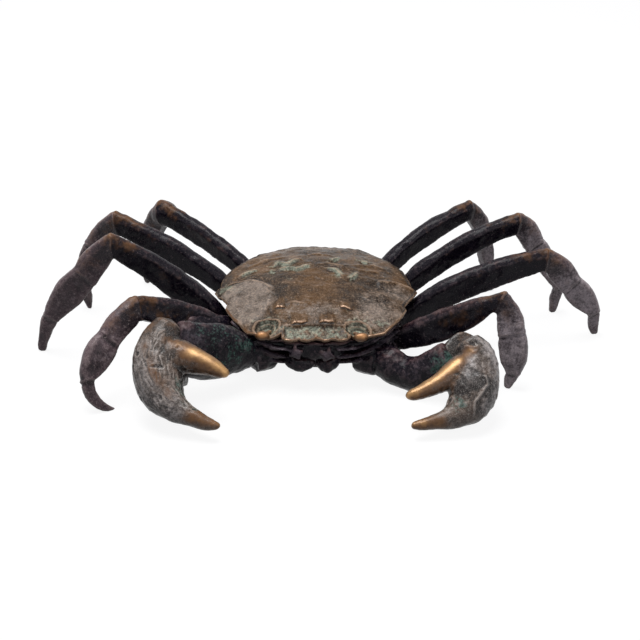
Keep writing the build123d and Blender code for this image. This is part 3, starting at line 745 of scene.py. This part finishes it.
# The root of the crab's right first leg: each station is a place, a half width and a half height.
leg_root = [
    ((-24, -9, 13), 3.4, 4.5), ((-31, -13.5, 15.5), 3.2, 4.2), ((-37.5, -17.5, 19.0), 2.8, 3.2),
    ((-41, -19.5, 20.5), 2.0, 2.0)]
face_parts.append(horn([(at_body(*place), wide, high) for place, wide, high in leg_root]))
arms = {
    "left": [((18, -18, 9.0), 4.5, 5.0), ((24, -24.5, 7.5), 4.8, 5.6), ((28, -27, 6.2), 4.8, 5.2),
             ((33, -29, 6.7), 5.0, 5.8), ((38, -31, 9.4), 4.8, 6.6), ((43, -33, 13.8), 4.4, 6.8)],
    "right": [((-17, -17, 11.0), 5.0, 5.2), ((-22, -21.5, 11.2), 5.2, 5.8), ((-28, -25.5, 13.0), 5.5, 8.6),
              ((-35, -29.5, 15.2), 5.5, 9.8), ((-40, -31.5, 17.0), 5.0, 9.3), ((-45, -33, 19.0), 4.5, 8.0)]}
body_parts = [node_part("underbody"), flank_part(), *face_parts]
for arm in arms.values():
    body_parts.append(horn([(at_body(*place), wide, high) for place, wide, high in arm]))
body_mesh = skin_round(body_parts, cell=0.42)
soften(body_mesh, rounds=6)
roughen(body_mesh, [(6.0, 0.50), (2.6, 0.26), (1.0, 0.10)], seed=20)
mark_wear(body_mesh)
mark_spots(body_mesh, "moss", [
    ([at_body(-24, -27, 16), at_body(-31, -31, 12)], 5.0, 0.7),
    ([at_body(-34, -33, 24), at_body(-27, -24, 20)], 4.0, 0.6),
    ([at_body(39.5, -37, 12), at_body(42, -37, 17)], 4.4, 1.4),
    ([at_body(25, -20, 14)], 4.0, 0.4)])
# The spots along the fronts of the face's rims and on the two stars are painted highlights; the rest are ash
# grey patina on the arms.
mark_spots(body_mesh, "ash", [
    *((np.array(rim) + (0, -2.0, 0.4), 0.8, 1.3) for rim in rims),
    ([at_body(-6.3, -28.5, 13.6)], 2.0, 1.2),
    ([at_body(3.8, -28.5, 13.0)], 2.0, 1.2),
    ([at_body(-37.5, -36, 20), at_body(-40, -37, 23)], 3.6, 0.9),
    ([at_body(-29, -31, 8)], 3.0, 0.7),
    ([at_body(38.5, -37, 12), at_body(41, -37, 17)], 3.0, 0.8),
    ([at_body(30, -31, 9), at_body(36, -34, 12)], 5, 0.35)])
mark_spots(body_mesh, "soot", [
    ([at_body(-26, -18, 20), at_body(-36, -26, 25)], 8.0, 0.7),
    ([at_body(24, -18, 13), at_body(30, -20, 10)], 5.0, 0.5)])
ends, reaches = [], []
arm_reach = 22.0
for side in ("left", "right"):
    ends.append(meeting("underbody", f"{side}_claw_arm"))
    _, middles, areas = facets_of(f"{side}_claw_arm")
    reaches.append((np.average(middles, axis=0, weights=areas), arm_reach))
left_arm, right_arm, underbody_mesh = split_at(body_mesh, ends, reaches)
add_piece("underbody_shell", underbody_mesh, ["underbody"], dark_bronze)
add_piece("left_arm_cast", left_arm, ["left_claw_arm"], dark_bronze)
add_piece("right_arm_cast", right_arm, ["right_claw_arm"], dark_bronze)

# Mouth plates and eyes. The two outer jaw plates are small castings under the front edge. Each eye is a short
# bead on a stalk that lies in its orbit, and handling has polished it to gold.
worn_bronze = bronze(
    "worn_bronze", seed=5.0, deep=tone(40, 26, 16), brown=tone(104, 72, 44), ash=tone(150, 130, 110),
    pale=tone(190, 150, 112), gold=tone(172, 122, 74), moss=tone(70, 60, 48),
    rough=0.38, shine=0.3, lean=0.3, upper=0.6, clouds=0.9)
faces = {
    "left": (
        (14.2, -27.2, 19.0),
        ((0.6, -25.6, 9.4), (3.0, -26.4, 8.3), (5.0, -26.0, 9.2), (7.4, -24.6, 10.8))),
    "right": (
        (-16.9, -26.2, 19.0),
        ((-0.8, -25.6, 9.6), (-4.0, -26.4, 8.6), (-7.0, -26.0, 9.4), (-9.6, -24.6, 11.0)))}
plate_half_sizes = ((1.2, 1.0), (1.9, 2.3), (2.0, 2.4), (1.2, 1.4))
for side, (bead, plate) in faces.items():
    stations = [(at_body(*place), *half) for place, half in zip(plate, plate_half_sizes)]
    mouth_mesh = skin_round([horn(stations, steps=24, turns=20)], cell=0.25)
    soften(mouth_mesh, rounds=3)
    roughen(mouth_mesh, [(2.2, 0.35), (1.0, 0.15)], seed=31)
    mark_wear(mouth_mesh)
    add_piece(f"{side}_mouth_plate_cast", mouth_mesh, [f"{side}_mouth_plate"], dark_bronze)
    eye = at_body(*bead)
    inner = at_body(bead[0] * 0.85, bead[1] + 2.0, bead[2] + 0.4)
    bead_and_stalk = [ball(eye, (2.4, 1.5, 1.5)), horn([(eye, 0.9, 0.9), (inner, 0.7, 0.7)])]
    eye_mesh = skin_round(bead_and_stalk, cell=0.2)
    soften(eye_mesh, rounds=3)
    roughen(eye_mesh, [(1.5, 0.10)], seed=32)
    mark_wear(eye_mesh)
    mark_spots(eye_mesh, "gold", [([eye + (-0.8, -1.0, 1.0), eye + (0.8, -1.0, 1.0)], 1.7, 1.1)])
    add_piece(f"{side}_eye_cast", eye_mesh, [f"{side}_eye"], worn_bronze)

# Claws. Bronze castings, brazed on the arms: a wrist, a palm with the lower finger on it and a polished upper
# finger. The crab's right palm has the strokes of its fur, the left one pits and a raised line. Each hand is
# drawn from its wrist, in millimetres along the three ways below, and mirrored for the right.
claw_bronze = bronze(
    "claw_bronze", seed=7.0, deep=tone(28, 21, 19), brown=tone(110, 94, 82), ash=tone(160, 153, 150),
    pale=tone(190, 180, 172), gold=tone(168, 128, 78), moss=tone(62, 92, 84),
    rough=0.34, shine=0.32, lean=0.32, upper=0.45, clouds=1.5, rub=0.55)
claw_inwards = np.array((-0.99, -0.11, 0.10))
claw_upwards = np.array((0.0, 0.73, 0.68))
claw_back = np.cross(claw_inwards, claw_upwards)
# seam is where the upper finger begins, as a place and a direction, and reach what belongs to it. Spots of
# patina are a route, a reach and a strength. Stations of palm and finger are a place, a half width and a half
# height.
claws = {
    "right": dict(
        wrist=(46.0, -34.8, 24.2),
        seam=((7.3, -8.7), (1.0, -0.05)),
        reach=((14.0, -9.0), 10.5),
        zones={
            "gold": [
                ([(8.0, -7.0, -4), (13.5, -9.0, -3), (18.5, -13.0, -1)], 3.4, 1.15),
                ([(19.5, -14.0, 0), (19.0, -14.0, 0)], 3.0, 1.2),
                ([(2.5, -4.5, -5), (8.0, -7.0, -4)], 3.0, 0.7),
                ([(8.0, -9.5, 0), (18.0, -14.0, 0)], 6.0, 0.62),
                ([(9.0, -28.0, -2), (17.5, -30.0, 0)], 3.4, 0.62),
                ([(15.5, -29.5, -1), (17.5, -30.0, 0)], 2.0, 0.95),
                ([(-3.5, 5.5, -2), (0.0, 6.5, -2), (4.0, 6.0, -2)], 1.0, 0.9),
                ([(-5.0, 1.0, -5), (0.0, 3.0, -5), (5.0, 2.0, -5)], 4.4, 0.42),
                ([(-5.5, -6.0, -6), (-2.0, -15.0, -6), (4.0, -23.0, -6)], 2.4, 0.42)],
            "soot": [
                ([(-10.5, -10.0, 0), (-9.5, -17.0, 0), (-5.0, -22.5, 0)], 2.6, 0.8),
                ([(8.0, -13.5, -2)], 2.2, 0.8),
                ([(-3.0, 3.0, -4), (3.0, 3.0, -4), (5.0, -1.0, -4)], 4.6, 0.8),
                ([(13.0, -26.5, -1)], 0.8, 1.2)],
            "ash": [([(-6.0, -8.0, -6), (-6.5, -16.0, -6), (-2.0, -22.0, -5), (4.0, -26.0, -4)], 6.0, 0.6)],
            "moss": [
                ([(6.0, -17.0, -3), (8.0, -22.0, -3), (11.0, -25.5, -2)], 2.6, 0.75),
                ([(9.5, -24.5, 0)], 1.6, 0.6)]},
        palm=[
            ((0.2, 3.2), 4.4, 4.4), ((-2.2, -2.0), 6.2, 5.8), ((-3.6, -8.0), 7.2, 6.4),
            ((-2.6, -14.0), 7.7, 6.4), ((-1.0, -19.0), 7.0, 5.8), ((2.4, -23.6), 5.0, 4.6),
            ((7.3, -26.7), 3.3, 3.4), ((12.2, -29.2), 2.3, 2.4), ((15.4, -30.2), 1.6, 1.7),
            ((16.9, -30.2), 0.9, 1.0)],
        finger=[
            ((-2.5, -7.0), 6.0, 5.6), ((3.4, -7.6), 5.5, 5.0), ((8.0, -8.9), 4.4, 4.0),
            ((13.2, -10.9), 3.2, 3.0), ((17.0, -13.0), 2.2, 2.2), ((19.2, -13.8), 1.2, 1.3)]),
    "left": dict(
        wrist=(45.5, -34.8, 22.9),
        seam=((7.3, -15.0), (1.0, -0.1)),
        reach=((13.0, -15.0), 9.0),
        zones={
            "gold": [
                ([(3.0, -9.0, -4), (9.0, -13.5, -3), (14.0, -17.0, -2), (18.0, -19.5, -1)], 3.1, 1.12),
                ([(17.5, -20.0, 0), (18.0, -19.5, 0)], 2.4, 1.15),
                ([(-2.0, -5.5, -5), (3.0, -9.0, -4)], 2.4, 0.65),
                ([(4.0, -12.0, 0), (17.0, -20.0, 0)], 5.4, 0.72),
                ([(8.0, -28.0, -2), (16.0, -29.0, 0)], 2.6, 0.62),
                ([(13.5, -28.5, -1), (17.0, -29.0, 0)], 1.9, 1.05),
                ([(-4.0, 1.0, -4), (5.0, 0.0, -4)], 4.4, 0.4)],
            "soot": [
                ([(-4.0, -15.5, -6)], 1.5, 1.6),
                ([(2.0, -18.0, -6), (-1.5, -15.5, -6)], 2.4, 1.5),
                ([(-6.5, -17.5, -5), (-8.5, -21.5, -5), (-4.5, -25.5, -5)], 2.2, 1.0),
                ([(-4.0, 1.0, -4), (2.0, 1.0, -4), (6.0, -2.0, -4)], 4.6, 1.0)],
            "ash": [
                ([(-8.0, -5.5, -5), (-11.5, -11.0, -5), (-11.5, -17.5, -5), (-8.5, -24.0, -5)], 4.4, 0.85),
                ([(-3.0, -1.5, -4), (-7.0, -4.5, -4)], 1.6, 1.2),
                ([(-1.0, -7.0, -7), (0.0, -13.0, -7)], 3.6, 0.6)],
            "moss": [
                ([(4.0, -22.5, -6), (2.5, -23.5, -6)], 2.4, 1.0),
                ([(2.0, -12.0, -5)], 2.5, 0.4)]},
        palm=[
            ((-1.2, -1.5), 4.2, 4.6), ((-3.6, -6.0), 6.5, 5.8), ((-3.6, -12.0), 7.6, 6.4),
            ((-2.4, -18.0), 7.8, 6.4), ((-0.2, -22.4), 6.4, 5.4), ((4.8, -26.2), 3.7, 3.8),
            ((9.9, -27.8), 2.3, 2.5), ((14.0, -28.8), 1.7, 1.8), ((16.4, -29.2), 1.1, 1.2)],
        finger=[
            ((-4.0, -7.5), 4.6, 4.6), ((1.5, -10.6), 4.1, 4.2), ((6.9, -14.8), 3.3, 3.4),
            ((12.8, -18.0), 2.4, 2.6), ((16.4, -19.3), 1.8, 1.9), ((18.0, -19.6), 1.0, 1.1)]),
}
raised_line = [(-2.5, -15.0), (-5.0, -14.5), (-5.5, -17.0), (-3.5, -20.0), (-1.5, -22.5), (-1.5, -26.0)]


def placed(part, wrist, ways, sign):
    """A part drawn along the claw's ways, moved to its wrist. A mirrored one has its faces turned."""
    points, faces = part
    return wrist + points @ np.array(ways), faces if sign > 0 else [face[::-1] for face in faces]


def furred(local, gap, share):
    """The right palm's strokes of fur, which run along it and wave, with bare dips between them."""
    wave = 0.5 * grain(local, 3.0, 44)
    turned = gap + 1.1 * wave + 5.0 * share
    fur = grain(np.column_stack([share * 15, turned / 0.55, (local[:, 2] + wave) / 0.7]), 1.0, 45)
    on_palm = rise(local[:, 1], -28, -24) * rise(-local[:, 1], -1.0, 2.5)
    return on_palm * (0.17 * fur - 0.4 * rise(grain(local, 1.6, 46), 0.5, 0.9))


def pitted(local):
    """The left palm's pits, and the raised line on its outer side."""
    pits = 0.55 * rise(grain(local, 1.9, 47), 0.45, 0.9) - 0.16 * grain(local, 1.1, 48)
    line = stroke(local[:, :2], raised_line, 0.55, 0.55) * (local[:, 2] < 0)
    return line - rise(local[:, 1], -27, -23) * pits


def hand_relief(side, claw, local):
    """How far a hand's skin stands out, in millimetres. Polish has worn it smooth along the upper finger."""
    gap, share = away(local[:, :2], [place for place, _, _ in claw["palm"]])
    lift = 0.22 * grain(local, 4.0, 41) + 0.10 * grain(local, 1.7, 42) + 0.04 * grain(local, 0.8, 43)
    lift += furred(local, gap, share) if side == "right" else pitted(local)
    polished_edge = claw["zones"]["gold"][0][0]
    gap, _ = away(local, polished_edge)
    return lift * (1 - 0.9 * np.exp(-((gap / 5.0) ** 2)))


for side, sign in (("left", 1), ("right", -1)):
    claw = claws[side]
    mirror = np.array((sign, 1, 1))
    wrist = np.array(claw["wrist"]) * mirror + body_middle
    ways = [way * mirror for way in (claw_inwards, claw_upwards, claw_back)]
    hand_parts = [placed(horn(claw[part]), wrist, ways, sign) for part in ("palm", "finger")]
    hand = skin_round(hand_parts, cell=0.32)
    soften(hand, rounds=10)
    local = (points_of(hand) - wrist) @ np.array(ways).T
    push_out(hand, hand_relief(side, claw, local))
    mark_wear(hand)
    for zone, spots in claw["zones"].items():
        mark_spots(hand, zone, spots, local)
    inwards, upwards, _ = ways
    (x, y), (along_x, along_y) = claw["seam"]
    plane = (wrist + x * inwards + y * upwards, along_x * inwards + along_y * upwards)
    (x, y), radius = claw["reach"]
    finger_mesh, palm_mesh = split_at(hand, [plane], [(wrist + x * inwards + y * upwards, radius)])
    # The patina runs on from palm to finger, so both have the claws' bronze, and the marks polish the finger.
    add_piece(f"{side}_palm_cast", palm_mesh, [f"{side}_claw_palm"], claw_bronze)
    add_piece(f"{side}_finger_cast", finger_mesh, [f"{side}_claw_finger"], claw_bronze)
    wrist_mesh = skin_round([node_part(f"{side}_claw_wrist")], cell=0.4)
    soften(wrist_mesh, rounds=12)
    roughen(wrist_mesh, [(4.0, 0.35), (1.6, 0.15), (0.9, 0.06)], seed=50 + sign)
    mark_wear(wrist_mesh)
    middle = points_of(wrist_mesh).mean(axis=0)
    upper_front = middle + (0, -3, 3)
    mark_spots(wrist_mesh, "soot", [([upper_front], 12.0, 1.8)])
    mark_spots(wrist_mesh, "gold", [([upper_front], 12.0, 0.42)])
    mark_spots(wrist_mesh, "moss", [([middle + (-4 * sign, -5, 0)], 5.0, 1.3 if side == "left" else 0.6)])
    add_piece(f"{side}_wrist_cast", wrist_mesh, [f"{side}_claw_wrist"], claw_bronze)

# Walking legs. Each is four bronze castings, brazed with a peg in a socket: thigh, knee, shin and a pointed
# foot. One skin is drawn round the four and cut at their seams. Thighs are as dark as the body and the rest
# is greyer.
leg_bronze = bronze(
    "leg_bronze", seed=9.0, deep=tone(30, 21, 28), brown=tone(106, 88, 92), ash=tone(166, 155, 158),
    pale=tone(176, 160, 156), gold=tone(186, 146, 106), moss=tone(70, 80, 78),
    rough=0.40, shine=0.24, lean=0.45, upper=0.3, clouds=0.7, rub=0.3)


def seam_relief(points, planes, number):
    """A bead and a groove beside it, uneven, at each seam where two castings of a leg were brazed."""
    lift = np.zeros(len(points))
    for place, way in planes:
        near = np.linalg.norm(points - place, axis=1) < 9
        off = (points - place) @ way + 0.6 * grain(points, 2.6, number)
        bead_and_groove = np.exp(-((off / 0.5) ** 2)) - np.exp(-(((off - 1.1) / 0.6) ** 2))
        lift += near * 0.2 * (0.6 + 0.7 * grain(points, 3.0, 7)) * bead_and_groove
    return lift


def mark_leg(leg, side, number, root, planes, lumps):
    """Stores where a leg is rubbed, ash grey and darker, with a brown band along its top that is partly
    rubbed bronze and partly a painted highlight. The crab's left legs are the greyer ones.
    """
    knee, shin, foot = (place for place, _ in planes)
    before_knee = 0.3 * root + 0.7 * knee
    # The band along the top of thigh, knee and shin is partly rubbed bronze and partly a painted highlight
    # along the top edge.
    top = [before_knee + (0, -1, 4), knee + (0, -1, 4), shin + (0, 0, 4)]
    mark_spots(leg, "gold", [
        *(([place + (0, 0, 0.5)], 3.0, 0.5) for place in lumps),
        (top, 3.6, 0.34),
        ([root + (0, -4, 1), knee + (0, -4, 1)], 4.0, 0.32 if number == 1 else 0.12)])
    greyness = 1.1 if side == "left" else 0.15
    mark_spots(leg, "ash", [([shin, foot], 8.0, greyness), ([foot], 12.0, 0.6 * greyness)])
    mark_spots(leg, "soot", [
        ([knee + (0, -2, -1)], 6.0, 0.75),
        ([2 * root - knee, root, before_knee], 7, 0.15 if number == 1 else 0.6)])


for side in ("left", "right"):
    for number in (1, 2, 3, 4):
        names = [f"{side}_leg_{number}_{section}" for section in ("thigh", "knee", "shin", "foot")]
        planes = [meeting(a, b) for a, b in zip(names, names[1:])]
        parts = [node_part(name) for name in names]
        if (side, number) == ("right", 4):
            # This leg's knee is rounder than its solids.
            parts.append(ball(planes[0][0] + (0.4, 0, -0.4), (4.6, 4.2, 4.6)))
        leg = skin_round(parts, cell=0.36)
        soften(leg, rounds=9)
        roughen(leg, [(6.0, 0.40), (2.4, 0.16), (0.9, 0.06)], seed=60 + 10 * number)
        knee, way = planes[0]
        lumps = [
            knee + (0, 0, 4.0) + way * 1.5,
            knee + (0, 0, 4.5) - way * 3.0,
            knee + (0, -2, 3.5) - way * 6.5]
        points = points_of(leg)
        lift = seam_relief(points, planes, number)
        for place in lumps:
            lift += 0.75 * np.exp(-((np.linalg.norm(points - place, axis=1) / 2.0) ** 2))
        push_out(leg, lift)
        mark_wear(leg)
        root = facets_of(names[0])[1].mean(axis=0)
        mark_leg(leg, side, number, root, planes, lumps)
        for name, mesh in zip(names, split_at(leg, planes)):
            thigh = name.endswith("thigh")
            slot, material = ("dark_bronze", dark_bronze) if thigh else ("leg_bronze", leg_bronze)
            add_piece(f"{name}_cast", mesh, [name], material)

# The table, the studio and the camera, which looks down on the crab at 28 degrees from 60 cm in front of it.
# The aim is the table under the middle of the body, which shows a little below the middle of the picture.
distance = 0.600
tilt = math.radians(28)
picture_width = 640
focal_length = 1800
aim_across, aim_down = 316, 350
lens_data = bpy.data.cameras.new("camera")
lens_data.sensor_width = 36.0
lens_data.lens = lens_data.sensor_width * focal_length / picture_width
lens_data.shift_x = (picture_width / 2 - aim_across) / picture_width
lens_data.shift_y = (aim_down - picture_width / 2) / picture_width
lens_data.clip_start = 0.01
camera = bpy.data.objects.new("camera", lens_data)
bpy.context.scene.collection.objects.link(camera)
aim = body_middle / 1000
camera.location = (aim[0], aim[1] - distance * math.cos(tilt), aim[2] + distance * math.sin(tilt))
camera.rotation_euler = (math.radians(90) - tilt, 0, 0)
bpy.context.scene.camera = camera


def shown(tree, socket):
    """1 for what the camera or a reflection sees, and 0 for the light that falls on the crab."""
    ray = Shade(tree, socket)
    return ray.node("ShaderNodeLightPath", output=0) + ray.node("ShaderNodeLightPath", output=3)


white = (1, 1, 1, 1)
dim_room = (0.08, 0.08, 0.11, 1)
world = bpy.data.worlds.new("studio")
bpy.context.scene.world = world
world.use_nodes = True
sky = world.node_tree.nodes["Background"]
colour = shown(world.node_tree, sky.outputs[0]).mix(dim_room, white)
world.node_tree.links.new(colour.socket, sky.inputs["Color"])
sky.inputs["Strength"].default_value = 1.0

lamps = (("key", (-0.10, 0.06, 0.70), 0.45, 5.1), ("fill", (0.40, -0.45, 0.5), 0.5, 0.9))
for name, place, size, watts in lamps:
    lamp = bpy.data.lights.new(name, "AREA")
    lamp.size = size
    lamp.energy = watts
    holder = bpy.data.objects.new(name, lamp)
    holder.location = place
    holder.rotation_euler = (-Vector(place)).to_track_quat("-Z", "Y").to_euler()
    bpy.context.scene.collection.objects.link(holder)

table = bpy.data.materials.new("table")
table.use_nodes = True
surface = table.node_tree.nodes["Principled BSDF"]
colour = shown(table.node_tree, surface.outputs[0]).mix((0, 0, 0, 1), white)
table.node_tree.links.new(colour.socket, surface.inputs["Emission Color"])
surface.inputs["Emission Strength"].default_value = 0.9
surface.inputs["Base Color"].default_value = (0.14, 0.14, 0.14, 1)
surface.inputs["Roughness"].default_value = 1.0
surface.inputs["Specular IOR Level"].default_value = 0.0
floor_mesh = bpy.data.meshes.new("floor")
floor_mesh.from_pydata([(-3, -3, 0), (3, -3, 0), (3, 3, 0), (-3, 3, 0)], [], [(0, 1, 2, 3)])
floor_mesh.materials.append(table)
floor = bpy.data.objects.new("floor", floor_mesh)
bpy.context.scene.collection.objects.link(floor)

bpy.context.scene.view_settings.view_transform = "Standard"
